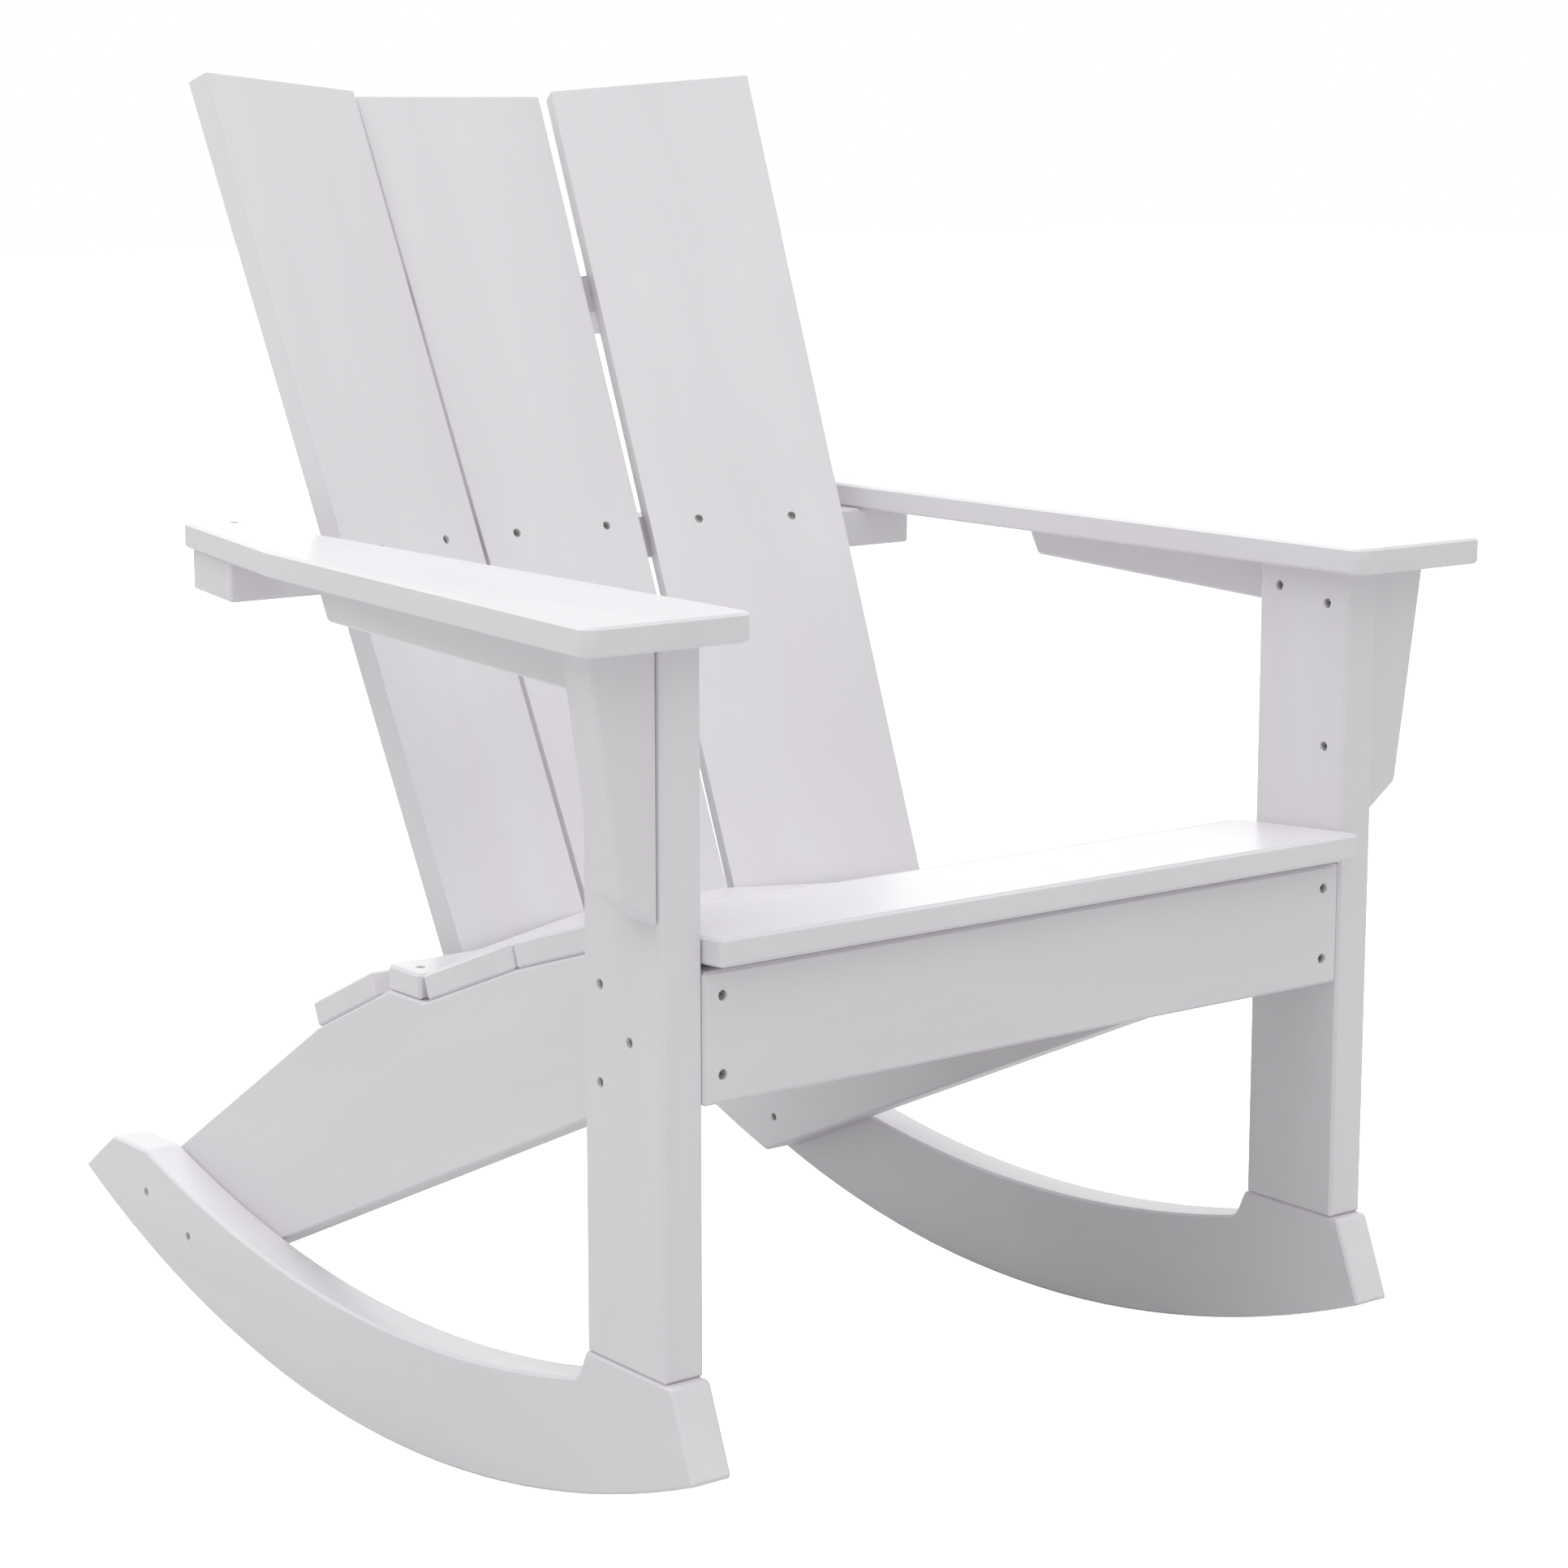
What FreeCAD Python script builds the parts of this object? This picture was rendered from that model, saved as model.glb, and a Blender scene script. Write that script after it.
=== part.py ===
# Rocking adirondack chair in white plastic lumber, as a parametric document in millimetres.
# Front is -Y, the sitter's right hand is -X, up is +Z, and the rockers touch Z = 0.
# Outlines are drawn from the legs' feet: stations run back from the legs' front faces and
# heights run up from the feet. Each sub-part's Placement carries it to the floor's frame.
import FreeCAD, Part
import math
import os
import re
import Sketcher

SIZES = {
    # Stock: thick planks, thin boards, and the break on every edge
    "plank": 31.75,
    "board": 19.05,
    "edge_break": 1.9,
    # Where the legs' feet stand, and the leg planks
    "foot_station": -389.7,
    "foot_height": 138.4,
    "inner_half": 288,
    "leg_depth": 88.9,
    "leg_length": 484.4,
    # Rockers: the arc on the floor, the hollow arc above it, and the flats of the plank's own edge
    "rocker_radius": 1036.7,
    "rocker_middle": 366,
    "rocker_nose_top": 6.5,
    "rocker_nose": 30.5,
    "rocker_tail_flat": 54.7329,
    "rocker_tail_bevel": 50,
    "rocker_tail_drop": 2.5,
    "hollow_radius": 1132.6,
    "hollow_lag": 3.3,
    "hollow_depth": 54.1,
    "heel_lap": 2.1,
    "heel_run": 10,
    "heel_round": 14,
    # Stringers: the straight lower edge, the ledges for the seat, and the tail beside the rocker
    "stringer_depth": 72.4,
    "stringer_fall": 24.2,
    "tail_setback": 74,
    "tail_gap": 7.4,
    "tail_ledge": 102.9,
    "tail_slope": 32.46,
    "front_ledge_station": -19.7,
    "front_ledge_height": 275.5,
    "front_tilt": 3.5,
    "middle_tilt": 17.5,
    "rear_tilt": 21.2,
    "back_ledge": 46.9,
    # Seat: apron, slats and the contoured rail that meets the back
    "seat_clearance": 0.5,
    "apron_drop": 6.1,
    "apron_height": 88.9,
    "slat_width": 120.65,
    "slat_step": 1.5,
    "front_slat_gap": 0.3,
    "middle_slat_gap": 1.5,
    "rear_slat_gap": 4.7,
    "seat_rail_gap": 5.4,
    "seat_rail_lap": 1,
    "seat_rail_tongue": 69.5,
    "facet_side_gap": 0.5,
    "facet_front_gap": 0.1,
    "facet_turn": 22.5,
    # Back: three tapered boards, measured in the reclined frame that starts at the back ledge
    "recline": 25,
    "back_setback": 52.2,
    "center_foot_half": 64.9,
    "center_top_half": 87,
    "center_length": 725.3,
    "side_turn": 18.69,
    "side_lead": 6.1,
    "side_forward": 1.1,
    "side_foot_lap": 0.7,
    "side_foot_inset": 70.5,
    "side_top_gap": 7.4,
    "side_top_inset": 31.9,
    "side_inner_length": 726,
    "side_outer_length": 715.5,
    # Rails behind the back; the middle flats of the upper two reach past the center board's edges
    "lower_rail_front": 21.5,
    "lower_rail_rear": 113.5,
    "upper_rail_foot": 539,
    "upper_rail_half": 183,
    "upper_rail_rear": 116.9,
    "rail_flat_gap": 3.1,
    "arm_rail_web": 36,
    "arm_rail_depth": 91.9,
    "arm_rail_front_reach": 34.3,
    "arm_rail_rear_reach": 15.3,
    # Arms, the cleats under them and the corbels on the legs
    "arm_inner_lap": 19.5,
    "arm_front": -31,
    "arm_front_reach": 109.5,
    "arm_knee": 435,
    "arm_knee_reach": 63,
    "arm_rear_lap": 2.6,
    "arm_rear_reach": 20.5,
    "arm_corner_round": 10,
    "corbel_front": 4,
    "corbel_top_reach": 52.2,
    "corbel_foot_reach": 28.6,
    "corbel_depth": 181.9,
    "corbel_outer_depth": 161.1,
    "cleat_front_depth": 38.6,
    "cleat_rear_depth": 26,
    "cleat_foot_rear": 374,
    "cleat_slope": 14.5,
    # Fasteners: trim-head screws sunk in narrow bores
    "screw_head": 6.6,
    "head_depth": 3,
    "screw_bore": 7,
    "screw_shank": 4.4,
    "screw_sink": 3,
}

# Screws and bores are drawn with flats, more of them where they show, to keep the facets few
SHOWN_FLATS = 12
HIDDEN_FLATS = 6

SIDES = {"left": -1, "right": 1}
ALIASES = re.compile(r"\b(" + "|".join(SIZES) + r")\b")

doc = FreeCAD.newDocument("rocking_adirondack_chair")
sheet = doc.addObject("Spreadsheet::Sheet", "dims")
for row, (alias, size) in enumerate(SIZES.items(), start=1):
    sheet.set(f"A{row}", alias)
    sheet.set(f"B{row}", str(size))
    sheet.setAlias(f"B{row}", alias)
doc.recompute()

sub_parts = {}


# Expressions

def bound(text):
    # The same expression with each driving dimension read from the sheet
    return ALIASES.sub(r"dims.\1", str(text))


def number(text):
    # The expression's present value
    return float(sheet.evalExpression(bound(text)))


def spot(x, y, z, turn="rotationx(0)"):
    return f"placement(create(<<vector>>; {x}; {y}; {z}); {turn})"


def down_slope(height, start, station, slope):
    # The height at a station on a ledge that falls to the rear from its start
    return f"({height} - ({station} - ({start})) * tan({slope}))"


def mirrored(side, places):
    # Corners or spots given for the right side, with the first value reversed for the left
    return [(f"{SIDES[side]} * ({across})", along) for across, along in places]


def both_halves(half):
    # The right half's corners, then the same ones mirrored and in reverse
    return half + [(f"-({across})", along) for across, along in reversed(half)]


def rectangle(half, low, high):
    return [(f"-({half})", low), (half, low), (half, high), (f"-({half})", high)]


# Bodies and features

def new_body(name):
    body = doc.addObject("PartDesign::Body", "body_" + name)
    body.Label = name
    body.setExpression("Placement", bound(spot(0, "foot_station", "foot_height")))
    sub_parts[name] = body
    return body


def new_sketch(body, name, frame):
    # A sketch on the body's own XY plane, moved to the frame by its attachment offset
    planes = [feature for feature in body.Origin.OriginFeatures if feature.Role == "XY_Plane"]
    sketch = body.newObject("Sketcher::SketchObject", name)
    sketch.AttachmentSupport = (planes[0], [""])
    sketch.MapMode = "FlatFace"
    sketch.setExpression("AttachmentOffset", bound(frame))
    return sketch


def fix(sketch, kind, edge, point, text):
    # One distance from the sketch's origin, bound to the sheet
    index = sketch.addConstraint(Sketcher.Constraint(kind, -1, 1, edge, point, number(text)))
    sketch.setExpression(f"Constraints[{index}]", bound(text))


def fix_radius(sketch, edge, text):
    index = sketch.addConstraint(Sketcher.Constraint("Radius", edge, number(text)))
    sketch.setExpression(f"Constraints[{index}]", bound(text))


def corner_point(corner, arc):
    # A corner with no second value lies on its arc, below the arc's center
    across, along = corner
    u = number(across)
    if along is not None:
        return FreeCAD.Vector(u, number(along), 0)
    center_u, center_v, radius = (number(text) for text in arc)
    return FreeCAD.Vector(u, center_v - math.sqrt(radius**2 - (u - center_u) ** 2), 0)


def draw_outline(sketch, corners, arcs):
    # A closed outline from corner to corner; arcs maps an edge's number to center u, v and radius
    count = len(corners)
    points = []
    for index, corner in enumerate(corners):
        points.append(corner_point(corner, arcs.get(index) or arcs.get(index - 1)))
    starts = []
    for edge, start in enumerate(points):
        end = points[(edge + 1) % count]
        if edge in arcs:
            center_u, center_v, radius = (number(text) for text in arcs[edge])
            turns = [math.atan2(point.y - center_v, point.x - center_u) for point in (start, end)]
            circle = Part.Circle(FreeCAD.Vector(center_u, center_v, 0), FreeCAD.Vector(0, 0, 1), radius)
            sketch.addGeometry(Part.ArcOfCircle(circle, min(turns), max(turns)), False)
            starts.append(1 if turns[0] < turns[1] else 2)
        else:
            sketch.addGeometry(Part.LineSegment(start, end), False)
            starts.append(1)
    for edge in range(count):
        after = (edge + 1) % count
        sketch.addConstraint(Sketcher.Constraint("Coincident", edge, 3 - starts[edge], after, starts[after]))
    for edge, (across, along) in enumerate(corners):
        fix(sketch, "DistanceX", edge, starts[edge], across)
        if along is not None:
            fix(sketch, "DistanceY", edge, starts[edge], along)
    for edge, (center_u, center_v, radius) in arcs.items():
        fix(sketch, "DistanceX", edge, 3, center_u)
        fix(sketch, "DistanceY", edge, 3, center_v)
        fix_radius(sketch, edge, radius)


def add_stock(body, name, frame, corners, depth, arcs=None):
    # Stock of the given depth behind the frame, whose normal looks out of it
    sketch = new_sketch(body, name + "_outline", frame)
    draw_outline(sketch, corners, arcs or {})
    feature = body.newObject("PartDesign::Pad", name)
    feature.Profile = sketch
    feature.Reversed = True
    feature.setExpression("Length", bound(depth))
    doc.recompute()


def cut_away(body, name, frame, corners, depth):
    sketch = new_sketch(body, name + "_outline", frame)
    draw_outline(sketch, corners, {})
    feature = body.newObject("PartDesign::Pocket", name)
    feature.Profile = sketch
    feature.setExpression("Length", bound(depth))
    doc.recompute()


def dress_edges(body, kind, amount, chosen):
    # A fillet or chamfer on the chosen edges of the body's present shape, or on all of them
    base = body.Tip
    feature = body.newObject(f"PartDesign::{kind}", f"{base.Name}_{kind.lower()}")
    if chosen is None:
        feature.Base = (base, [""])
        feature.UseAllEdges = True
    else:
        names = [f"Edge{index}" for index, edge in enumerate(base.Shape.Edges, start=1) if chosen(edge)]
        feature.Base = (base, names)
    feature.setExpression("Radius" if kind == "Fillet" else "Size", bound(amount))
    doc.recompute()


def ease_edges(body, chosen=None):
    dress_edges(body, "Chamfer", "edge_break", chosen)


def round_corner(body, radius, station, run):
    # Rounds the corners that run this way through the stock at this station
    where = number(station)

    def is_corner(edge):
        along = edge.tangentAt(edge.FirstParameter)
        return abs(edge.CenterOfMass.y - where) < 0.5 and along.cross(run).Length < 0.01

    dress_edges(body, "Fillet", radius, is_corner)


def ease_outer_edges(body, half, stations):
    # Breaks the edges at this distance across and at these stations of the last outline's frame
    frame = body.Tip.Profile[0].Placement.inverse()
    side = number(half)
    back = [number(station) for station in stations]

    def is_outer(edge):
        ends = [frame.multVec(vertex.Point) for vertex in edge.Vertexes]
        if all(abs(abs(end.x) - side) < 0.1 for end in ends):
            return True
        return any(all(abs(end.y - station) < 0.1 for end in ends) for station in back)

    ease_edges(body, is_outer)


# Frames that look out of the chair's faces, and what a sketch's u and v then run along

FACING_UP = "rotationx(0)"  # u across, v back
FACING_DOWN = "rotationx(180)"  # u across, v forward
FACING_FRONT = "rotationx(90)"  # u across, v up
FACING_BACK = "rotationz(180) * rotationx(90)"  # u across and reversed, v up
FACING_LEFT = "rotationz(-90) * rotationx(90)"  # u forward, v up
FACING_RIGHT = "rotationz(90) * rotationx(90)"  # u back, v up

ACROSS = FreeCAD.Vector(1, 0, 0)
UPRIGHT = FreeCAD.Vector(0, 0, 1)

LEG_OUTER = "(inner_half + plank)"
CLEAT_OUTER = "(inner_half + plank + board)"
SEAT_HALF = "(inner_half - seat_clearance)"
FLOOR_CENTER = "(rocker_radius - foot_height)"
HOLLOW_CENTER = "(hollow_radius - hollow_depth)"
HOLLOW_MIDDLE = "(rocker_middle + hollow_lag)"
HEEL_STATION = "(leg_depth + heel_lap)"
HEEL_TOE = "(leg_depth + heel_lap + heel_run)"
HOLLOW_END = f"({HOLLOW_MIDDLE} + sqrt(hollow_radius^2 - ({HOLLOW_CENTER} + rocker_tail_drop)^2))"
TAIL_TOP = f"({HOLLOW_END} + rocker_tail_flat)"
ROCKER_TAIL = f"({TAIL_TOP} + rocker_tail_bevel)"
STRINGER_TAIL = f"({ROCKER_TAIL} - tail_setback)"
STRINGER_LOW = "(front_ledge_height - stringer_depth)"
APRON_LOW = "(front_ledge_height - apron_drop - apron_height)"
BOARD_REAR = "(back_setback + board)"
SIDE_START = "(center_foot_half + side_lead)"
SIDE_SETBACK = "(back_setback - side_forward)"

# Stations and heights of the ledges: each starts behind the slat before it
MIDDLE_STATION = "(front_ledge_station + slat_width * cos(front_tilt) + front_slat_gap)"
REAR_STATION = f"({MIDDLE_STATION} + (slat_step + slat_width) * cos(middle_tilt) + middle_slat_gap)"
RAIL_STATION = f"({REAR_STATION} + (slat_step + slat_width) * cos(rear_tilt) + rear_slat_gap)"
BACK_STATION = f"({RAIL_STATION} + back_ledge)"
MIDDLE_LEDGE = down_slope("front_ledge_height", "front_ledge_station", MIDDLE_STATION, "front_tilt")
REAR_LEDGE = down_slope(MIDDLE_LEDGE, MIDDLE_STATION, REAR_STATION, "middle_tilt")
BACK_LEDGE = down_slope(REAR_LEDGE, REAR_STATION, RAIL_STATION, "rear_tilt")

# The arm rail's middle height above the back ledge, and its rear face behind the center board's
ARM_RAIL_RISE = f"(leg_length - plank / 2 - {BACK_LEDGE})"
ARM_RAIL_FRONT_FACE = f"({BACK_STATION} + {ARM_RAIL_RISE} * tan(recline) + {BOARD_REAR} / cos(recline))"
ARM_RAIL_REAR = f"({ARM_RAIL_FRONT_FACE} + arm_rail_web)"

# Each slat's ledge: where it starts, its height there, and its tilt
LEDGES = {
    "front": ("front_ledge_station", "front_ledge_height", "front_tilt"),
    "middle": (MIDDLE_STATION, MIDDLE_LEDGE, "middle_tilt"),
    "rear": (REAR_STATION, REAR_LEDGE, "rear_tilt"),
}


def in_back(x, y, z, turn):
    # A frame inside the reclined frame: x across, y back through the boards, z up along them
    reclined = spot(0, BACK_STATION, BACK_LEDGE, "rotationx(-recline)")
    return f"{reclined} * {spot(x, y, z, turn)}"


def outward(side, half):
    # The upright plane at this distance across, seen from outside the chair
    return spot(f"{SIDES[side]} * {half}", 0, 0, FACING_RIGHT if side == "right" else FACING_LEFT)


def inward(side, half):
    # The same plane seen from between the sides
    return spot(f"{SIDES[side]} * {half}", 0, 0, FACING_LEFT if side == "right" else FACING_RIGHT)


def slat_top(place):
    station, height, tilt = LEDGES[place]
    return spot(0, station, height, f"rotationx(-{tilt})") + " * " + spot(0, 0, "board")


def center_face():
    return in_back(0, "back_setback", 0, FACING_FRONT)


def side_face(side):
    # The front face of a side board, turned forward about its inner edge
    start = f"{SIDES[side]} * {SIDE_START}"
    return in_back(start, SIDE_SETBACK, 0, f"rotationz({-SIDES[side]} * side_turn) * {FACING_FRONT}")


def side_reach(half):
    # How far along a side board's own width this distance across lies
    return f"(({half} - {SIDE_START}) / cos(side_turn))"


def side_rear(half):
    # How far back the side boards' rear faces lie at this distance across
    return f"({SIDE_SETBACK} + board / cos(side_turn) - ({half} - {SIDE_START}) * tan(side_turn))"


def where_side_rear_is(depth):
    # The distance across at which the side boards' rear faces lie this far back
    return f"({SIDE_START} + ({SIDE_SETBACK} + board / cos(side_turn) - {depth}) / tan(side_turn))"


def flat_half(along):
    # Half of a rail's middle flat, which reaches past the center board's edge at this length
    taper = "(center_top_half - center_foot_half) / center_length"
    return f"(center_foot_half + {taper} * ({along}) + rail_flat_gap)"


def rail_height(depth, bite):
    # How far up the boards a screw starts at this depth to meet the arm rail's middle at the bite
    return f"(({ARM_RAIL_RISE} + ({depth} + {bite}) * sin(recline)) / cos(recline))"


# Sides: rockers, legs and stringers

def add_side_plank(name, side, outer, corners, depth="plank", arcs=None):
    # Stock on edge whose outer face lies at this distance across; corners are stations and heights
    body = new_body(f"{name}_{side}")
    turned = {}
    for edge, (center, height, radius) in (arcs or {}).items():
        turned[edge] = (f"{SIDES[side]} * {center}", height, radius)
    add_stock(body, f"{name}_{side}_stock", outward(side, outer), mirrored(side, corners), depth, turned)
    return body


def make_rocker(side):
    corners = [
        ("-rocker_nose_top", "0"),
        ("-rocker_nose", None),
        (ROCKER_TAIL, None),
        (TAIL_TOP, "-rocker_tail_drop"),
        (HOLLOW_END, None),
        (HEEL_TOE, None),
        (HEEL_STATION, "0"),
    ]
    floor_arc = ("rocker_middle", FLOOR_CENTER, "rocker_radius")
    hollow_arc = (HOLLOW_MIDDLE, HOLLOW_CENTER, "hollow_radius")
    body = add_side_plank("rocker", side, LEG_OUTER, corners, arcs={1: floor_arc, 4: hollow_arc})
    round_corner(body, "heel_round", HEEL_TOE, ACROSS)
    ease_edges(body)


def make_leg(side):
    corners = [("0", "0"), ("leg_depth", "0"), ("leg_depth", "leg_length"), ("0", "leg_length")]
    ease_edges(add_side_plank("leg", side, LEG_OUTER, corners))


def make_stringer(side):
    # The straight lower edge meets an arc that follows the rocker's underside at tail_gap
    run = f"(rocker_middle - {STRINGER_LOW} / tan(stringer_fall))"
    across = f"({run} * sin(stringer_fall) + {FLOOR_CENTER} * cos(stringer_fall))"
    along = f"sqrt((rocker_radius - tail_gap)^2 - {across}^2)"
    meet = f"(rocker_middle - {across} * sin(stringer_fall) + {along} * cos(stringer_fall))"
    slope_station = f"({BACK_STATION} + tail_ledge)"
    slope_top = down_slope(BACK_LEDGE, BACK_STATION, slope_station, "recline")
    corners = [
        ("plank", down_slope(STRINGER_LOW, 0, "plank", "stringer_fall")),
        (meet, None),
        (STRINGER_TAIL, None),
        (STRINGER_TAIL, down_slope(slope_top, slope_station, STRINGER_TAIL, "tail_slope")),
        (slope_station, slope_top),
        (BACK_STATION, BACK_LEDGE),
        (RAIL_STATION, BACK_LEDGE),
        (REAR_STATION, REAR_LEDGE),
        (MIDDLE_STATION, MIDDLE_LEDGE),
        ("plank", down_slope("front_ledge_height", "front_ledge_station", "plank", "front_tilt")),
    ]
    tail_arc = ("rocker_middle", FLOOR_CENTER, "rocker_radius - tail_gap")
    ease_edges(add_side_plank("stringer", side, "inner_half", corners, arcs={1: tail_arc}))


# Seat

def make_apron():
    body = new_body("seat_apron")
    corners = rectangle(SEAT_HALF, APRON_LOW, f"{APRON_LOW} + apron_height")
    add_stock(body, "seat_apron_stock", spot(0, 0, 0, FACING_FRONT), corners, "plank")
    ease_edges(body)


def make_slat(place):
    body = new_body(f"seat_slat_{place}")
    start = "0" if place == "front" else "slat_step"
    corners = rectangle(SEAT_HALF, start, f"{start} + slat_width")
    add_stock(body, f"seat_slat_{place}_stock", slat_top(place), corners, "board")
    ease_edges(body)


def make_seat_rail():
    # A tongue cut back by the leaning facets, then the bar that lies across the stringers
    body = new_body("seat_rail")
    top = spot(0, 0, f"{BACK_LEDGE} + board", FACING_UP)
    front = f"{RAIL_STATION} + seat_rail_gap"
    end = f"{BACK_STATION} + seat_rail_lap"
    tongue = [
        ("-(inner_half - plank)", front),
        ("inner_half - plank", front),
        ("inner_half / 2", f"{end} + seat_rail_tongue"),
        ("-inner_half / 2", f"{end} + seat_rail_tongue"),
    ]
    add_stock(body, "seat_rail_tongue", top, tongue, "board")
    facet_half = f"({SIDE_START} - facet_side_gap)"
    facet_setback = f"({SIDE_SETBACK} - facet_front_gap)"
    facets = [
        ("inner_half", "inner_half"),
        ("inner_half", f"{facet_setback} - (inner_half - {facet_half}) * tan(facet_turn)"),
        (facet_half, facet_setback),
        (facet_half, "back_setback"),
    ]
    above = in_back(0, 0, "leg_depth", FACING_UP)
    cut_away(body, "seat_rail_facets", above, both_halves(facets), "leg_depth * 2")
    bar = rectangle(SEAT_HALF, front, end)
    add_stock(body, "seat_rail_bar", top, bar, "board")
    ease_outer_edges(body, SEAT_HALF, [front])


# Back

def make_center_board():
    body = new_body("back_board_center")
    corners = [
        ("-center_foot_half", "0"),
        ("center_foot_half", "0"),
        ("center_top_half", "center_length"),
        ("-center_top_half", "center_length"),
    ]
    add_stock(body, "back_board_center_stock", center_face(), corners, "board")
    ease_edges(body)


def make_side_board(side):
    body = new_body(f"back_board_{side}")
    corners = [
        ("-side_foot_lap", "0"),
        (side_reach("inner_half - side_foot_inset"), "0"),
        (side_reach("inner_half - side_top_inset"), "side_outer_length"),
        (side_reach("center_top_half + side_top_gap"), "side_inner_length"),
    ]
    add_stock(body, f"back_board_{side}_stock", side_face(side), mirrored(side, corners), "board")
    ease_edges(body)


def make_lower_rail():
    body = new_body("back_rail_lower")
    half = [
        (SEAT_HALF, "lower_rail_rear"),
        (SEAT_HALF, "lower_rail_front"),
        (where_side_rear_is("lower_rail_front"), "lower_rail_front"),
        (where_side_rear_is(BOARD_REAR), BOARD_REAR),
    ]
    add_stock(body, "back_rail_lower_stock", in_back(0, 0, "board", FACING_UP), both_halves(half), "board")
    ease_outer_edges(body, SEAT_HALF, ["lower_rail_front", "lower_rail_rear"])


def make_upper_rail():
    body = new_body("back_rail_upper")
    flat = flat_half("upper_rail_foot + plank / 2")
    half = [
        ("upper_rail_half", "upper_rail_rear"),
        ("upper_rail_half", side_rear("upper_rail_half")),
        (flat, side_rear(flat)),
        (flat, BOARD_REAR),
    ]
    top = in_back(0, 0, "upper_rail_foot + plank", FACING_UP)
    add_stock(body, "back_rail_upper_stock", top, both_halves(half), "plank")
    ease_outer_edges(body, "upper_rail_half", ["upper_rail_rear"])


def make_arm_rail():
    # A level plank, cut away in front of the boards' rear faces
    body = new_body("arm_rail")
    half = [
        ("inner_half + arm_rail_front_reach", f"{ARM_RAIL_REAR} - arm_rail_depth"),
        ("inner_half + arm_rail_rear_reach", ARM_RAIL_REAR),
    ]
    add_stock(body, "arm_rail_stock", spot(0, 0, "leg_length", FACING_UP), both_halves(half), "plank")
    ease_edges(body)
    flat = flat_half(rail_height(BOARD_REAR, 0))
    facets = [
        ("leg_length", "-leg_length"),
        ("leg_length", side_rear("leg_length")),
        (flat, side_rear(flat)),
        (flat, BOARD_REAR),
    ]
    above = in_back(0, 0, "leg_length", FACING_UP)
    cut_away(body, "arm_rail_facets", above, both_halves(facets), "leg_length")


# Arms

def make_arm(side):
    body = new_body(f"arm_{side}")
    rear = f"{ARM_RAIL_REAR} + arm_rear_lap"
    corners = [
        ("inner_half - arm_inner_lap", "arm_front"),
        ("inner_half + arm_front_reach", "arm_front"),
        ("inner_half + arm_knee_reach", "arm_knee"),
        ("inner_half + arm_rear_reach", rear),
        ("inner_half - arm_inner_lap", rear),
    ]
    top = spot(0, 0, "leg_length + board", FACING_UP)
    add_stock(body, f"arm_{side}_stock", top, mirrored(side, corners), "board")
    round_corner(body, "arm_corner_round", "arm_front", UPRIGHT)
    ease_edges(body)


def make_corbel(side):
    body = new_body(f"arm_corbel_{side}")
    corners = [
        (LEG_OUTER, "leg_length - corbel_depth"),
        (f"{LEG_OUTER} + corbel_foot_reach", "leg_length - corbel_outer_depth"),
        (f"{LEG_OUTER} + corbel_top_reach", "leg_length"),
        (LEG_OUTER, "leg_length"),
    ]
    front = spot(0, "corbel_front", 0, FACING_FRONT)
    add_stock(body, f"arm_corbel_{side}_stock", front, mirrored(side, corners), "plank")
    ease_edges(body)


def make_cleat(side):
    corners = [
        ("corbel_front + plank", "leg_length - cleat_front_depth"),
        ("cleat_foot_rear", "leg_length - cleat_rear_depth"),
        ("cleat_foot_rear + cleat_slope", "leg_length"),
        ("corbel_front + plank", "leg_length"),
    ]
    ease_edges(add_side_plank("arm_cleat", side, CLEAT_OUTER, corners, "board"))


# Fasteners

def add_prism(name, member, kind, frame, place, flats, diameter, start, length):
    # A flat-sided bore or rod from start to start + length below one spot on the frame
    across, along = place
    feature = sub_parts[member].newObject(f"PartDesign::{kind}Prism", f"{name}_{member}")
    feature.Polygon = flats
    feature.MapMode = "Deactivated"
    feature.setExpression("Circumradius", bound(f"{diameter} / 2"))
    feature.setExpression("Height", bound(length))
    feature.setExpression("Placement", bound(f"{frame} * {spot(across, along, f'-({start}) - ({length})')}"))
    doc.recompute()


def add_head(name, group, member, frame, place, flats, sink):
    # A head sunk in the member, in the bore above it
    add_prism(name + "_head", group, "Additive", frame, place, flats, "screw_head", sink, "head_depth")
    bore = f"{sink} + head_depth"
    add_prism(name + "_bore", member, "Subtractive", frame, place, flats, "screw_bore", 0, bore)


def add_shank(name, group, members, frame, place, sink, run):
    # A shank from below the head, through the first member and into the others
    shape = (frame, place, HIDDEN_FLATS, "screw_shank", f"{sink} + head_depth", run)
    add_prism(name + "_shank", group, "Additive", *shape)
    for member in members:
        add_prism(name + "_pilot", member, "Subtractive", *shape)


def fasten(group, rows, flats=HIDDEN_FLATS):
    # Each row gives a frame, its spots, the two members, how deep the head is sunk, and the length
    new_body(group).AllowCompound = True
    for row, (frame, places, members, sink, length) in enumerate(rows, start=1):
        for count, place in enumerate(places, start=1):
            name = f"{group}_{row}_{count}"
            add_head(name, group, members[0], frame, place, flats, sink)
            add_shank(name, group, members, frame, place, sink, f"{length} - head_depth")


def both_sides(frame, places, members, sink, length):
    # The same screws on the left and the right, at one frame that spans the chair
    rows = []
    for side in SIDES:
        named = [member.format(side) for member in members]
        rows.append((frame, mirrored(side, places), named, sink, length))
    return rows


def from_each_side(face, half, places, members, sink, length):
    # The same screws on the left and the right, driven across the chair from outward or inward
    rows = []
    for side in SIDES:
        named = [f"{member}_{side}" for member in members]
        rows.append((face(side, half), mirrored(seen_on(face, side), places), named, sink, length))
    return rows


def seen_on(face, side):
    # Which way stations run in that face's frame
    if face is outward:
        return side
    return "left" if side == "right" else "right"


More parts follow.
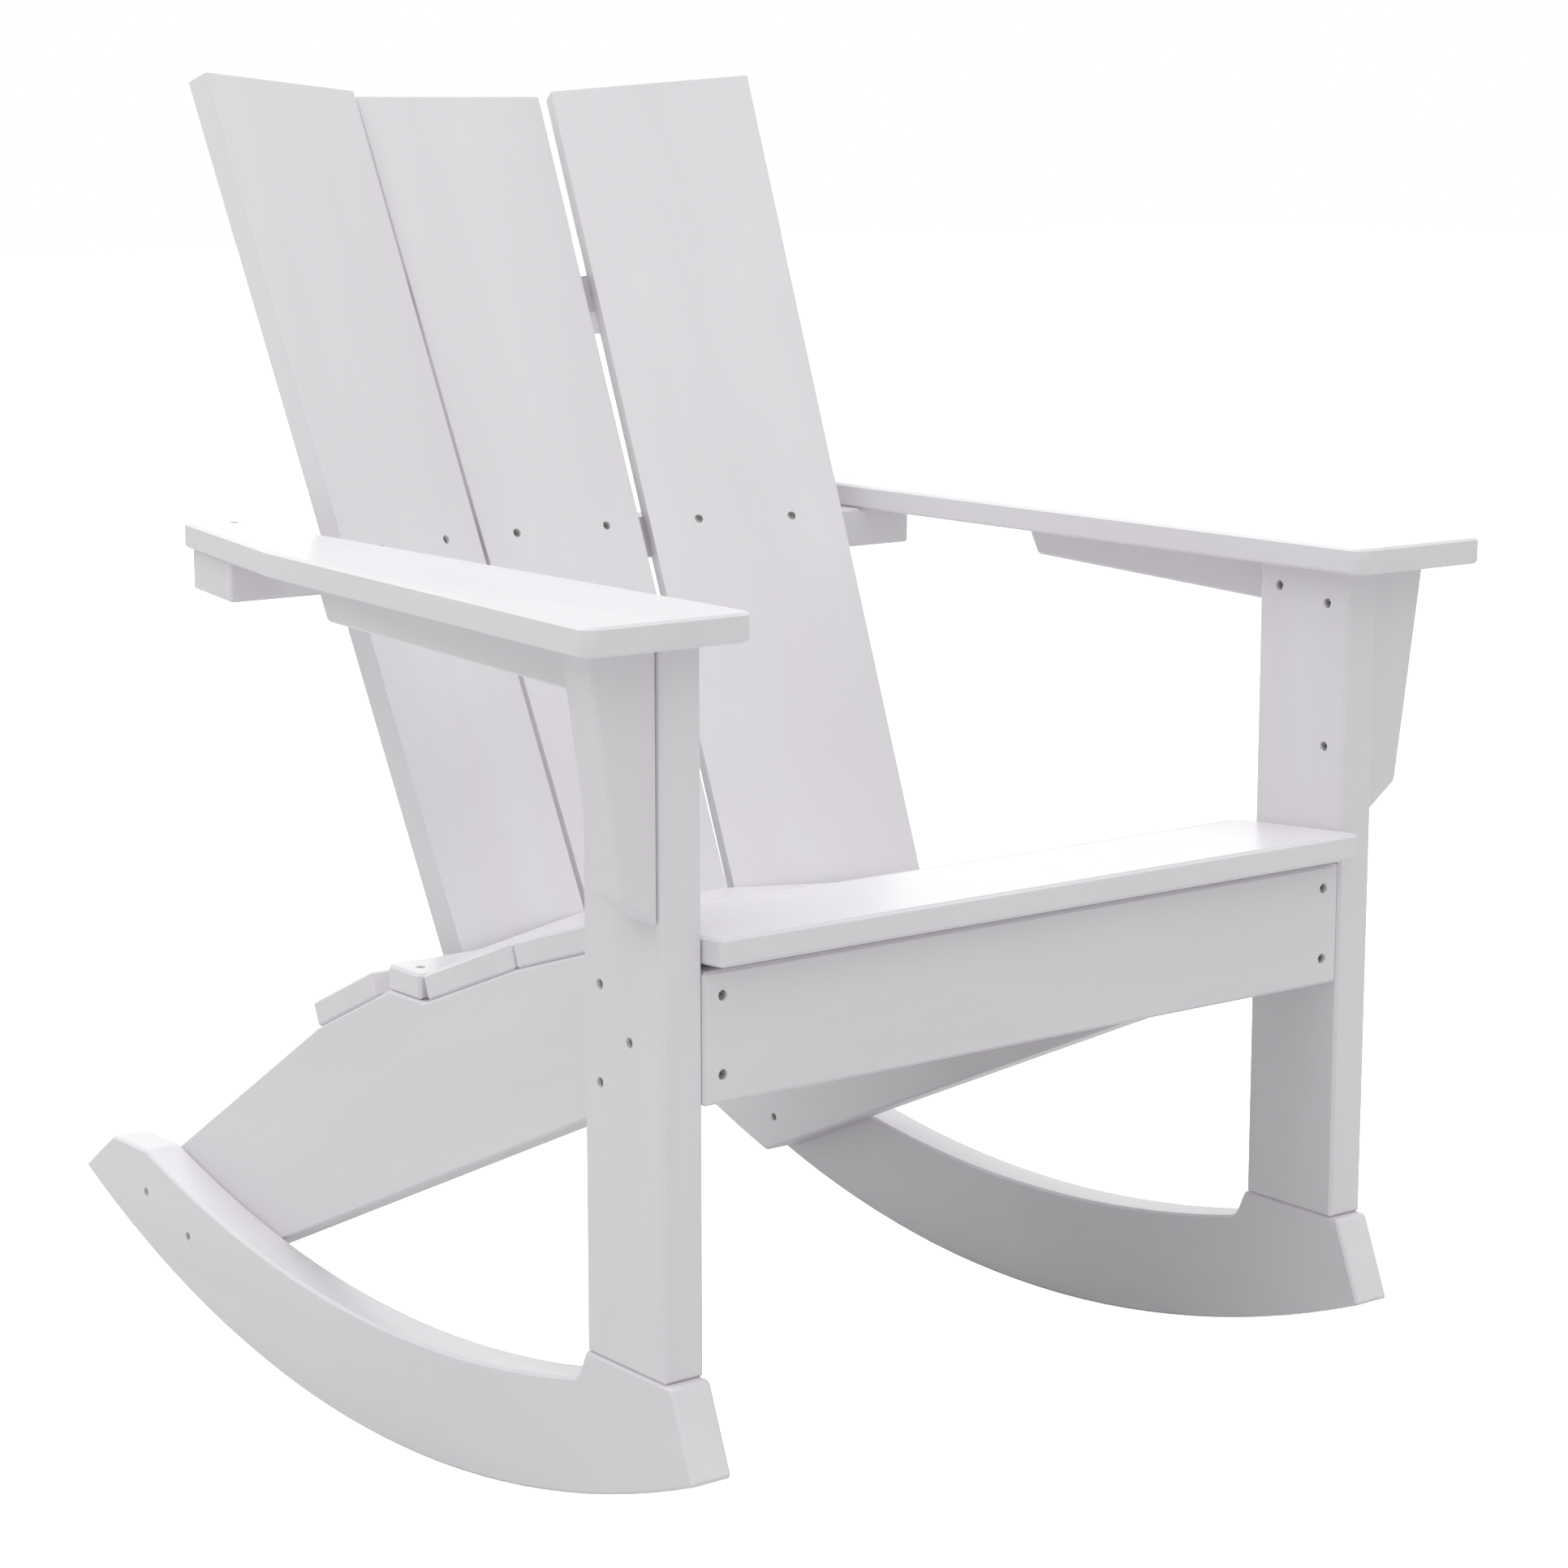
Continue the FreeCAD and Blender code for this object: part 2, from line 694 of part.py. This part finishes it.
def through_boards(rail, center, outer, length):
    # Through the three back boards from the front, into a rail behind them
    across, along = center
    pair = [center, (f"-({across})", along)]
    rows = [(center_face(), pair, ["back_board_center", rail], "screw_sink", length)]
    for side in SIDES:
        members = [f"back_board_{side}", rail]
        rows.append((side_face(side), mirrored(side, outer), members, "screw_sink", length))
    return rows


def make_leg_screws():
    places = [
        ("leg_depth - 18.4", "front_ledge_height - 22"),
        ("plank + 5.8", "front_ledge_height - 54.8"),
        ("leg_depth - 18", "front_ledge_height - 87.8"),
    ]
    rows = from_each_side(outward, LEG_OUTER, places, ["leg", "stringer"], "screw_sink", 50)
    fasten("screws_leg_stringer", rows, SHOWN_FLATS)
    # From under the rocker, up into the leg's foot
    under = spot(0, 0, "-leg_depth", FACING_DOWN)
    middle = "inner_half + plank / 2"
    places = [(middle, "-25"), (middle, "-(leg_depth - 25)")]
    members = ["rocker_{}", "leg_{}"]
    fasten("screws_rocker_leg", both_sides(under, places, members, "leg_depth - 35", 80))


def make_tail_bolts():
    # Through bolts with a head sunk in each outer face of the rocker and stringer
    places = [(f"{ROCKER_TAIL} - 103.8", "-36.9"), (f"{ROCKER_TAIL} - 171.4", "-57.3")]
    run = "plank * 2 - screw_sink * 2 - head_depth"
    group = "bolts_rocker_tail"
    rows = from_each_side(outward, LEG_OUTER, places, ["rocker", "stringer"], "screw_sink", run)
    fasten(group, rows, SHOWN_FLATS)
    for side in SIDES:
        frame = inward(side, "(inner_half - plank)")
        for count, place in enumerate(mirrored(seen_on(inward, side), places), start=1):
            name = f"{group}_far_{side}_{count}"
            add_head(name, group, f"stringer_{side}", frame, place, SHOWN_FLATS, "screw_sink")


def make_seat_screws():
    front = spot(0, 0, 0, FACING_FRONT)
    middle = "inner_half - plank / 2"
    places = [(middle, f"{APRON_LOW} + apron_height - 16.9"), (middle, f"{APRON_LOW} + 19.5")]
    members = ["seat_apron", "stringer_{}"]
    fasten("screws_apron", both_sides(front, places, members, "screw_sink", 60), SHOWN_FLATS)
    # Up through the stringers' thickness into the front slat
    under = spot(0, 0, "front_ledge_height - 105", FACING_DOWN)
    places = [(middle, "-(leg_depth - 3)"), ("inner_half - plank * 0.8", "-(plank + 18)")]
    members = ["stringer_{}", "seat_slat_front"]
    fasten("screws_slat_front", both_sides(under, places, members, 65, 48))
    rows = []
    places = [(middle, "slat_width / 4"), (middle, "slat_width * 3 / 4")]
    for place in ("middle", "rear"):
        members = [f"seat_slat_{place}", "stringer_{}"]
        rows.extend(both_sides(slat_top(place), places, members, "screw_sink", 45))
    fasten("screws_slats", rows, SHOWN_FLATS)
    top = spot(0, 0, f"{BACK_LEDGE} + board", FACING_UP)
    places = [("inner_half - 15", f"({RAIL_STATION} + seat_rail_gap + {BACK_STATION} + seat_rail_lap) / 2")]
    members = ["seat_rail", "stringer_{}"]
    fasten("screws_seat_rail", both_sides(top, places, members, "screw_sink", 45), SHOWN_FLATS)


def make_back_screws():
    top = in_back(0, 0, "board", FACING_UP)
    middle = "inner_half - plank / 2"
    places = [(middle, "lower_rail_front + 23.5"), (middle, "lower_rail_rear - 23.5")]
    members = ["back_rail_lower", "stringer_{}"]
    fasten("screws_rail_lower", both_sides(top, places, members, "screw_sink", 45))
    low = "board / 2"
    rows = through_boards("back_rail_lower", ("35", low), [("40", low), ("115", low)], 50)
    fasten("screws_back_lower", rows)
    outer = []
    for across in ("52.4", "130.2"):
        outer.append((across, rail_height(f"({SIDE_SETBACK} - {across} * sin(side_turn))", 36.2)))
    rows = through_boards("arm_rail", ("43", rail_height("back_setback", 31.6)), outer, 42)
    fasten("screws_back_arm_rail", rows, SHOWN_FLATS)
    # From behind the upper rail, each sunk so that its tip stays inside its board
    behind = in_back(0, "upper_rail_rear", "upper_rail_foot + plank / 2", FACING_BACK)
    rows = []
    flat = flat_half("upper_rail_foot + plank / 2")
    spots = [(f"{flat} / 2", 12), (f"{flat} + 25", 24), ("upper_rail_half - 23", 41)]
    for across, sink in spots:
        for side in SIDES:
            board = "center" if sink == 12 else side
            members = ["back_rail_upper", f"back_board_{board}"]
            rows.append((behind, mirrored(seen_on(inward, side), [(across, 0)]), members, sink, 45))
    fasten("screws_back_upper", rows)


def make_arm_screws():
    top = spot(0, 0, "leg_length + board", FACING_UP)
    places = [("inner_half - arm_inner_lap + 9.8", f"{ARM_RAIL_REAR} - 20.9")]
    rows = both_sides(top, places, ["arm_{}", "arm_rail"], "screw_sink", 42)
    fasten("screws_arm_rail", rows, SHOWN_FLATS)
    under = spot(0, 0, "leg_length - corbel_depth", FACING_DOWN)
    middle = f"{CLEAT_OUTER} - board / 2"
    places = [(middle, "-120"), (middle, "-300")]
    sink = "corbel_depth - 20"
    fasten("screws_cleat_arm", both_sides(under, places, ["arm_cleat_{}", "arm_{}"], sink, 32))
    places = [("leg_depth - 20.1", "leg_length - 17.7")]
    rows = from_each_side(inward, "inner_half", places, ["leg", "arm_cleat"], "screw_sink", 44)
    fasten("screws_cleat_leg", rows, SHOWN_FLATS)
    middle = "corbel_front + plank / 2"
    places = [(middle, "leg_length - 26"), (middle, "leg_length - corbel_outer_depth + 29.7")]
    rows = from_each_side(inward, "inner_half", places, ["leg", "arm_corbel"], "screw_sink", 50)
    fasten("screws_corbel_leg", rows, SHOWN_FLATS)


for side in SIDES:
    make_rocker(side)
    make_leg(side)
    make_stringer(side)
make_apron()
for place in LEDGES:
    make_slat(place)
make_seat_rail()
make_center_board()
for side in SIDES:
    make_side_board(side)
make_lower_rail()
make_upper_rail()
make_arm_rail()
for side in SIDES:
    make_arm(side)
    make_corbel(side)
    make_cleat(side)
make_leg_screws()
make_tail_bolts()
make_seat_screws()
make_back_screws()
make_arm_screws()
doc.recompute()

for feature in doc.Objects:
    if "Invalid" in feature.State or "Error" in feature.State:
        raise RuntimeError(f"{feature.Name} failed")
os.makedirs("parts", exist_ok=True)
for name, body in sub_parts.items():
    if body.Shape.isNull() or not body.Shape.isValid():
        raise RuntimeError(f"{name} has no valid shape")
    body.Shape.exportStep(f"parts/{name}.step")
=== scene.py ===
import math

import bpy
import numpy as np
from mathutils import Euler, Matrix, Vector


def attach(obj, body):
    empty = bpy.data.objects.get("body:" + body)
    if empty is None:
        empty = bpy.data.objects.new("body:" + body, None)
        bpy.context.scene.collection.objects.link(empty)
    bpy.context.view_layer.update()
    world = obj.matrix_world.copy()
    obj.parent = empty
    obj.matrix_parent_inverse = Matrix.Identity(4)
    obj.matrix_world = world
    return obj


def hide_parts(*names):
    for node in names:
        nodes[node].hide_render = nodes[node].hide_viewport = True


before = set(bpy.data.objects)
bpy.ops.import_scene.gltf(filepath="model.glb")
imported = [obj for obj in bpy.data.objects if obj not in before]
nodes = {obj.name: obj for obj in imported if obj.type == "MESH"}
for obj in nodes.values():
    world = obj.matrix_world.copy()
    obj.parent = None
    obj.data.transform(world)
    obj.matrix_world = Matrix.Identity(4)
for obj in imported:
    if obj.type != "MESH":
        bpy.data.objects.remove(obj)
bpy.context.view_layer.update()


# Helpers. Lengths are in metres all through.

def linear(hex_color):
    # sRGB hex to the linear values that shader sockets take
    channels = [int(hex_color[i:i + 2], 16) / 255 for i in (1, 3, 5)]
    return tuple(c / 12.92 if c <= 0.04045 else ((c + 0.055) / 1.055) ** 2.4 for c in channels) + (1.0,)


def set_inputs(tree, node, inputs):
    # Each input takes a value, or the output socket of another node
    for name, value in inputs.items():
        if isinstance(value, bpy.types.NodeSocket):
            tree.links.new(value, node.inputs[name])
        else:
            node.inputs[name].default_value = value


def add_node(tree, kind, inputs=None, **settings):
    node = tree.nodes.new(kind)
    for name, value in settings.items():
        setattr(node, name, value)
    set_inputs(tree, node, inputs or {})
    return node


def new_material(name):
    material = bpy.data.materials.new(name)
    material.use_nodes = True
    tree = material.node_tree
    return material, tree, tree.nodes["Principled BSDF"]


def mesh_object(name, verts, faces):
    mesh = bpy.data.meshes.new(name)
    mesh.from_pydata(verts, [], faces)
    mesh.update()
    shown = bpy.data.objects.new(name, mesh)
    bpy.context.scene.collection.objects.link(shown)
    return shown


# Solid white HDPE lumber, extruded and then cut to shape. The extruder's die leaves faint lines along
# each board, and the mix sets with slight clouds, so the white is never quite even and its gloss is low.
# The lines are drawn wider than a die's own, so that they still show when the whole chair is in view.
HDPE_WHITE = "#e6e4e7"
HDPE_CLOUD = "#e3e0e4"
HDPE_IOR = 1.52
HDPE_ROUGHNESS = {"To Min": 0.26, "To Max": 0.38}
LINE_WIDTH = 0.0022
LINE_BUMP = {"Strength": 0.22, "Distance": 0.0004}
CLOUD_WIDTH = 0.060
CLOUD_CONTRAST = {"From Min": 0.35, "From Max": 0.65}
# Factors on the patterns' coordinates along the board, which draw them out that way
LINE_STRETCH = 0.035
CLOUD_STRETCH = 0.16


def drawn_noise(tree, along, stretch, shift, width, detail, roughness):
    # Noise of one width across the board, drawn out along it
    drawn = add_node(tree, "ShaderNodeMapping", {"Vector": along.outputs[0], "Location": shift,
                                                 "Scale": (stretch, 1, 1)})
    noise = add_node(tree, "ShaderNodeTexNoise", {"Vector": drawn.outputs[0], "Scale": 1 / width,
                                                  "Detail": detail, "Roughness": roughness})
    return noise.outputs["Fac"]


def hdpe_lumber(name, grain, seed):
    # grain is the direction in which the board was extruded, and seed moves the patterns on each board
    material, tree, shader = new_material(name)
    turn = Vector((1, 0, 0)).rotation_difference(Vector(grain)).inverted().to_euler()
    place = add_node(tree, "ShaderNodeTexCoord")
    along = add_node(tree, "ShaderNodeMapping", {"Vector": place.outputs["Object"], "Rotation": turn})
    line_shift = (seed, seed * 2.3, seed * 0.7)
    cloud_shift = (seed * 3.1, seed, seed)
    lines = drawn_noise(tree, along, LINE_STRETCH, line_shift, LINE_WIDTH, detail=3.0, roughness=0.6)
    clouds = drawn_noise(tree, along, CLOUD_STRETCH, cloud_shift, CLOUD_WIDTH, detail=4.0, roughness=0.55)
    spread = add_node(tree, "ShaderNodeMapRange", {"Value": clouds, **CLOUD_CONTRAST})
    tone = add_node(tree, "ShaderNodeMix", {"Factor": spread.outputs[0], "A": linear(HDPE_WHITE),
                                            "B": linear(HDPE_CLOUD)}, data_type="RGBA")
    sheen = add_node(tree, "ShaderNodeMapRange", {"Value": lines, **HDPE_ROUGHNESS})
    bump = add_node(tree, "ShaderNodeBump", {"Height": lines, **LINE_BUMP})
    set_inputs(tree, shader, {"IOR": HDPE_IOR, "Base Color": tone.outputs["Result"],
                              "Roughness": sheen.outputs[0], "Normal": bump.outputs[0]})
    return material


# The boards, listed by the way their grain runs
RECLINE = math.radians(25)
STRINGER_GRAIN = math.radians(22)
GRAINS = {
    "across": (1, 0, 0),
    "back": (0, 1, 0),
    "upright": (0, 0, 1),
    "stringer": (0, math.cos(STRINGER_GRAIN), -math.sin(STRINGER_GRAIN)),
    "reclined": (0, math.sin(RECLINE), math.cos(RECLINE)),
}
BOARDS = {
    "across": ["seat_apron", "seat_slat_front", "seat_slat_middle", "seat_slat_rear", "seat_rail",
               "back_rail_lower", "back_rail_upper", "arm_rail"],
    "back": ["rocker_left", "rocker_right", "arm_left", "arm_right", "arm_cleat_left", "arm_cleat_right"],
    "upright": ["leg_left", "leg_right", "arm_corbel_left", "arm_corbel_right"],
    "stringer": ["stringer_left", "stringer_right"],
    "reclined": ["back_board_left", "back_board_center", "back_board_right"],
}

EASED_ROUND = 0.0009
CRISP_ROUND = 0.0005
ROUND_SEGMENTS = 3
# Edges that turn less than this, as on a curve's facets, stay as they are
SHARP_TURN = math.radians(36)
# Corners this near each other are one
SAME_CORNER = 0.00001


def round_over(board, radius):
    # A router leaves no sharp edge: each chamfer's own edges are rounded, and the back boards' square ones
    weld = board.modifiers.new("one_skin", "WELD")
    weld.merge_threshold = SAME_CORNER
    edges = board.modifiers.new("round_over", "BEVEL")
    edges.width = radius
    edges.segments = ROUND_SEGMENTS
    edges.angle_limit = SHARP_TURN


for grain, names in BOARDS.items():
    for count, name in enumerate(names):
        board = nodes[name]
        seed = 1.7 * count + 0.4
        board.data.materials.clear()
        board.data.materials.append(hdpe_lumber(f"hdpe_lumber_{name}", GRAINS[grain], seed))
        round_over(board, EASED_ROUND)


# Cold-headed stainless fasteners: satin gray, with the faint blotches of a tumbled finish
STEEL_DARK = "#8f8f8d"
STEEL_LIGHT = "#a9a8a5"
STEEL_ROUGHNESS = {"To Min": 0.28, "To Max": 0.45}
STEEL_BLOTCH = 0.0015


def stainless_steel():
    material, tree, shader = new_material("stainless_steel")
    place = add_node(tree, "ShaderNodeTexCoord")
    noise = add_node(tree, "ShaderNodeTexNoise", {"Vector": place.outputs["Object"],
                                                  "Scale": 1 / STEEL_BLOTCH})
    blotch = noise.outputs["Fac"]
    tone = add_node(tree, "ShaderNodeMix", {"Factor": blotch, "A": linear(STEEL_DARK),
                                            "B": linear(STEEL_LIGHT)}, data_type="RGBA")
    gloss = add_node(tree, "ShaderNodeMapRange", {"Value": blotch, **STEEL_ROUGHNESS})
    set_inputs(tree, shader, {"Metallic": 1.0, "Base Color": tone.outputs["Result"],
                              "Roughness": gloss.outputs[0]})
    return material


# The screws' trim heads, each with a rounded rim, a short band below it and a cone down to the shank
HEAD_RADIUS = 0.00325
HEAD_RIM = 0.0004
HEAD_BAND = 0.0011
HEAD_DEPTH = 0.003
SHANK_RADIUS = 0.0021
TIP_RADIUS = 0.0002
TIP_LENGTH = 0.006
STAR_RADIUS = 0.0015
STAR_RIPPLE = 0.00024
STAR_LOBES = 6
STAR_DEPTH = 0.0017
STAR_FLARE = 0.0002
STEPS = 24
# An end is a head if, within the zone, the modelled solid reaches further from its axis than a shank can
HEAD_ZONE = 0.0015
HEAD_REACH = 0.0028
# Edges that turn more than this are drawn sharp, the others smooth
RIM_TURN = math.radians(35)


def head_rings():
    # Each ring's radius, ripple and depth below the top, from the recess's floor out and down to the neck
    return [
        (STAR_RADIUS, STAR_RIPPLE, STAR_DEPTH),
        (STAR_RADIUS, STAR_RIPPLE, STAR_FLARE),
        (STAR_RADIUS + STAR_FLARE, STAR_RIPPLE, 0),
        (HEAD_RADIUS - HEAD_RIM, 0, 0),
        (HEAD_RADIUS - 0.25 * HEAD_RIM, 0, 0.3 * HEAD_RIM),
        (HEAD_RADIUS, 0, 1.25 * HEAD_RIM),
        (HEAD_RADIUS, 0, HEAD_BAND),
        (SHANK_RADIUS, 0, HEAD_DEPTH),
    ]


def turned(rings, top, down, verts, faces):
    # Rings of points about an axis, joined to a closed skin that is added to verts and faces
    side = down.orthogonal().normalized()
    other = down.cross(side)
    start = len(verts)
    for radius, ripple, depth in rings:
        for step in range(STEPS):
            turn = 2 * math.pi * step / STEPS
            reach = radius + ripple * math.cos(STAR_LOBES * turn)
            verts.append(top + down * depth + (side * math.cos(turn) + other * math.sin(turn)) * reach)
    last = start + (len(rings) - 1) * STEPS
    for near in range(start, last, STEPS):
        far = near + STEPS
        for step in range(STEPS):
            following = (step + 1) % STEPS
            faces.append((near + step, near + following, far + following, far + step))
    faces.append(tuple(start + step for step in reversed(range(STEPS))))
    faces.append(tuple(last + step for step in range(STEPS)))


def solids_of(node):
    # The corners of each separate solid of a node, as rows of x, y, z
    mesh = node.data
    corners = np.array([node.matrix_world @ vertex.co for vertex in mesh.vertices])
    _, first, same = np.unique(np.round(corners, 6), axis=0, return_index=True, return_inverse=True)
    group = np.arange(len(first))
    links = np.array([[same[a], same[b]] for edge in mesh.edges for a, b in [edge.vertices]]).reshape(-1, 2)
    # Linked corners take the lowest number among them, until nothing changes
    while True:
        low = np.minimum(group[links[:, 0]], group[links[:, 1]])
        before = group.copy()
        np.minimum.at(group, links[:, 0], low)
        np.minimum.at(group, links[:, 1], low)
        if (before == group).all():
            break
    return [corners[first[group == one]] for one in np.unique(group)]


def fastener_axis(points):
    # A fastener's middle, its direction, half its length, and the signs of the ends that have heads
    mean = points.mean(axis=0)
    direction = np.linalg.svd(points - mean)[2][0]
    along = (points - mean) @ direction
    across = np.linalg.norm((points - mean) - np.outer(along, direction), axis=1)
    offset = (along.max() + along.min()) / 2
    along = along - offset
    half = float(along.max())
    heads = [end for end in (1, -1) if across[along * end > half - HEAD_ZONE].max() > HEAD_REACH]
    return Vector(mean + direction * offset), Vector(direction), half, heads


def dress_fasteners(node, steel):
    # Round star-drive fasteners in place of the modelled flat-sided ones
    verts, faces = [], []
    screws = []
    for points in solids_of(node):
        middle, axis, half, heads = fastener_axis(points)
        for end in heads:
            top = middle + axis * end * half
            down = -axis * end
            if len(heads) == 2:
                # A through bolt, drawn as two halves that meet
                shank = [(SHANK_RADIUS, 0, half)]
            else:
                shank = [(SHANK_RADIUS, 0, 2 * half - TIP_LENGTH), (TIP_RADIUS, 0, 2 * half)]
                screws.append((top, down, 2 * half))
            turned(head_rings() + shank, top, down, verts, faces)
    name = node.name.replace("screws_", "trim_screws_").replace("bolts_", "through_bolts_")
    group = mesh_object(name, verts, faces)
    group.data.materials.append(steel)
    for face in group.data.polygons:
        face.use_smooth = True
    crisp = group.modifiers.new("crisp_rims", "EDGE_SPLIT")
    crisp.split_angle = RIM_TURN
    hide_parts(node.name)
    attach(group, "root")
    return screws


# Where each screw starts, which way it is driven and how long it is, by group
driven = {}
steel = stainless_steel()
for name, node in list(nodes.items()):
    if name.startswith(("screws", "bolts")):
        driven[name] = dress_fasteners(node, steel)


# The back boards keep crisper edges than the seat and arms, so their seams read as thin dark lines.
# The corners are those of the front face, measured across the board towards its outer side and up along
# it: the foot's inner and outer corners, and then the top's outer and inner ones.
BOARD_THICKNESS = 0.01905
CENTER_BOARD = [(-0.0649, 0), (0.0649, 0), (0.0870, 0.7253), (-0.0870, 0.7253)]
SIDE_BOARD = [(-0.0007, 0), (0.15465, 0), (0.1954, 0.7155), (0.0247, 0.7260)]
SIDE_TURN = math.radians(18.69)
SIDES = {"back_board_left": -1, "back_board_center": 0, "back_board_right": 1}
BACK_SCREWS = ["screws_back_lower", "screws_back_arm_rail", "screws_back_upper"]
# The bit starts this far inside the head and leaves this much room round the shank
BIT_START = 0.001
BIT_ROOM = 0.0001
SINK_RADIUS = 0.0034
# How far above the head's top the sink's bit starts, clear of the board
SINK_START = 0.006


def board_axes(name):
    # Across the board towards its outer side, back through it, and up along it
    up = Vector((0, math.sin(RECLINE), math.cos(RECLINE)))
    back = Vector((0, math.cos(RECLINE), -math.sin(RECLINE)))
    side = SIDES[name]
    if side == 0:
        return Vector((1, 0, 0)), back, up
    outward = Vector((side, 0, 0))
    across = outward * math.cos(SIDE_TURN) - back * math.sin(SIDE_TURN)
    return across, outward * math.sin(SIDE_TURN) + back * math.cos(SIDE_TURN), up


def board_origin(name, corners, axes):
    # The place that the corners are measured from, found from the modelled board
    points = [nodes[name].matrix_world @ vertex.co for vertex in nodes[name].data.vertices]
    across, back, up = axes
    (foot, _), (top, length) = corners[1], corners[2]
    lean = math.atan2(top - foot, length)
    low = min(point.dot(up) for point in points)
    front = min(point.dot(back) for point in points)
    # How far out the outer edge stands, measured square to that edge
    outer = max(point.dot(across) * math.cos(lean) - (point.dot(up) - low) * math.sin(lean)
                for point in points)
    start = outer / math.cos(lean) - foot
    return across * start + back * front + up * low


def drill_bits(back):
    # One bit for each screw in the back, and a wider one for each head that is driven from the front
    verts, faces = [], []
    for group in BACK_SCREWS:
        for top, down, length in driven[group]:
            bits = [(top + down * BIT_START, SHANK_RADIUS + BIT_ROOM, length)]
            if down.dot(back) > 0:
                bits.append((top - down * SINK_START, SINK_RADIUS, SINK_START + HEAD_DEPTH))
            for start, radius, depth in bits:
                turned([(radius, 0, 0), (radius, 0, depth)], start, down, verts, faces)
    return mesh_object("drill_bits", verts, faces)


def crisp_board(name):
    corners = SIDE_BOARD if SIDES[name] else CENTER_BOARD
    axes = board_axes(name)
    across, back, up = axes
    origin = board_origin(name, corners, axes)
    verts = [origin + across * out + up * rise + back * depth
             for depth in (0, BOARD_THICKNESS) for out, rise in corners]
    faces = [(0, 1, 2, 3), (7, 6, 5, 4)] + [(i, i + 4, (i + 1) % 4 + 4, (i + 1) % 4) for i in range(4)]
    # Where across, up and back turn the other way round, so do the faces
    if across.cross(up).dot(back) > 0:
        faces = [tuple(reversed(face)) for face in faces]
    board = mesh_object(f"crisp_{name}", verts, faces)
    holes = board.modifiers.new("screw_holes", "BOOLEAN")
    holes.object = drill_bits(back)
    holes.use_self = True
    drilled = bpy.data.meshes.new_from_object(board.evaluated_get(bpy.context.evaluated_depsgraph_get()))
    bpy.data.objects.remove(holes.object)
    board.modifiers.clear()
    board.data = drilled
    board.data.materials.append(nodes[name].data.materials[0])
    round_over(board, CRISP_ROUND)
    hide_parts(name)
    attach(board, "root")


for name in BOARDS["reclined"]:
    crisp_board(name)


# The studio
FLOOR_SIZE = 40
FLOOR_WHITE = "#e6e6e6"
# How bright the room looks in glossy reflections, where plain white is 1
GLOSSY_ROOM = 1.5
LAMP_AIM = (0, 0, 0.4)


def studio_floor():
    # A floor that throws light back up like pale paper, and that the camera sees as plain white
    bpy.ops.mesh.primitive_plane_add(size=FLOOR_SIZE)
    floor = bpy.context.object
    floor.name = "studio_floor"
    material, tree, shader = new_material("studio_floor")
    path = add_node(tree, "ShaderNodeLightPath")
    set_inputs(tree, shader, {"Base Color": linear(FLOOR_WHITE), "Roughness": 0.9, "Specular IOR Level": 0.0,
                              "Emission Color": (1, 1, 1, 1),
                              "Emission Strength": path.outputs["Is Camera Ray"]})
    floor.data.materials.append(material)


def studio_world(horizon, zenith, front, rear):
    # Soft light that grows from the horizon up and from the rear to the front; the camera sees plain white
    world = bpy.data.worlds.new("studio")
    bpy.context.scene.world = world
    world.use_nodes = True
    tree = world.node_tree
    path = add_node(tree, "ShaderNodeLightPath")
    camera_ray, glossy_ray = path.outputs["Is Camera Ray"], path.outputs["Is Glossy Ray"]
    seen = add_node(tree, "ShaderNodeMath", {0: camera_ray, 1: glossy_ray}, operation="MAXIMUM")
    place = add_node(tree, "ShaderNodeTexCoord")
    axes = add_node(tree, "ShaderNodeSeparateXYZ", {"Vector": place.outputs["Generated"]})
    height = add_node(tree, "ShaderNodeMapRange", {"Value": axes.outputs["Z"], "To Min": horizon,
                                                   "To Max": zenith})
    depth = add_node(tree, "ShaderNodeMapRange", {"Value": axes.outputs["Y"], "From Min": -1.0,
                                                  "From Max": 1.0, "To Min": front, "To Max": rear})
    room = add_node(tree, "ShaderNodeMath", {0: height.outputs[0], 1: depth.outputs[0]}, operation="MULTIPLY")
    bright = add_node(tree, "ShaderNodeMapRange", {"Value": glossy_ray, "To Min": 1.0, "To Max": GLOSSY_ROOM})
    level = add_node(tree, "ShaderNodeMix", {"Factor": seen.outputs[0], "A": room.outputs[0],
                                             "B": bright.outputs[0]})
    set_inputs(tree, tree.nodes["Background"], {"Color": (1, 1, 1, 1), "Strength": level.outputs[0]})


def softbox(name, place, size, power):
    lamp = bpy.data.lights.new(name, "AREA")
    lamp.shape = "SQUARE"
    lamp.size = size
    lamp.energy = power
    box = bpy.data.objects.new(name, lamp)
    bpy.context.scene.collection.objects.link(box)
    box.location = place
    box.rotation_euler = (Vector(LAMP_AIM) - Vector(place)).to_track_quat("-Z", "Y").to_euler()


studio_floor()
studio_world(horizon=0.14, zenith=1.47, front=1.12, rear=0.60)
softbox("softbox_above", place=(-0.3, 1.2, 3.0), size=2.4, power=22)
softbox("softbox_left", place=(-2.2, -0.2, 2.8), size=1.8, power=10)


# The photograph's camera, solved from the chair's straight edges
CAMERA_PLACE = (-1.6571, -2.2621, 0.9537)
CAMERA_TILT = math.radians(79.655)
CAMERA_TURN = math.radians(-37.451)
SENSOR_WIDTH = 36.0
FOCAL_LENGTH = 85.69

lens = bpy.data.cameras.new("photo_camera")
lens.sensor_width = SENSOR_WIDTH
lens.lens = FOCAL_LENGTH
camera = bpy.data.objects.new("photo_camera", lens)
camera.location = CAMERA_PLACE
camera.rotation_euler = Euler((CAMERA_TILT, 0, CAMERA_TURN))
bpy.context.scene.collection.objects.link(camera)
bpy.context.scene.camera = camera
bpy.context.scene.view_settings.view_transform = "Standard"
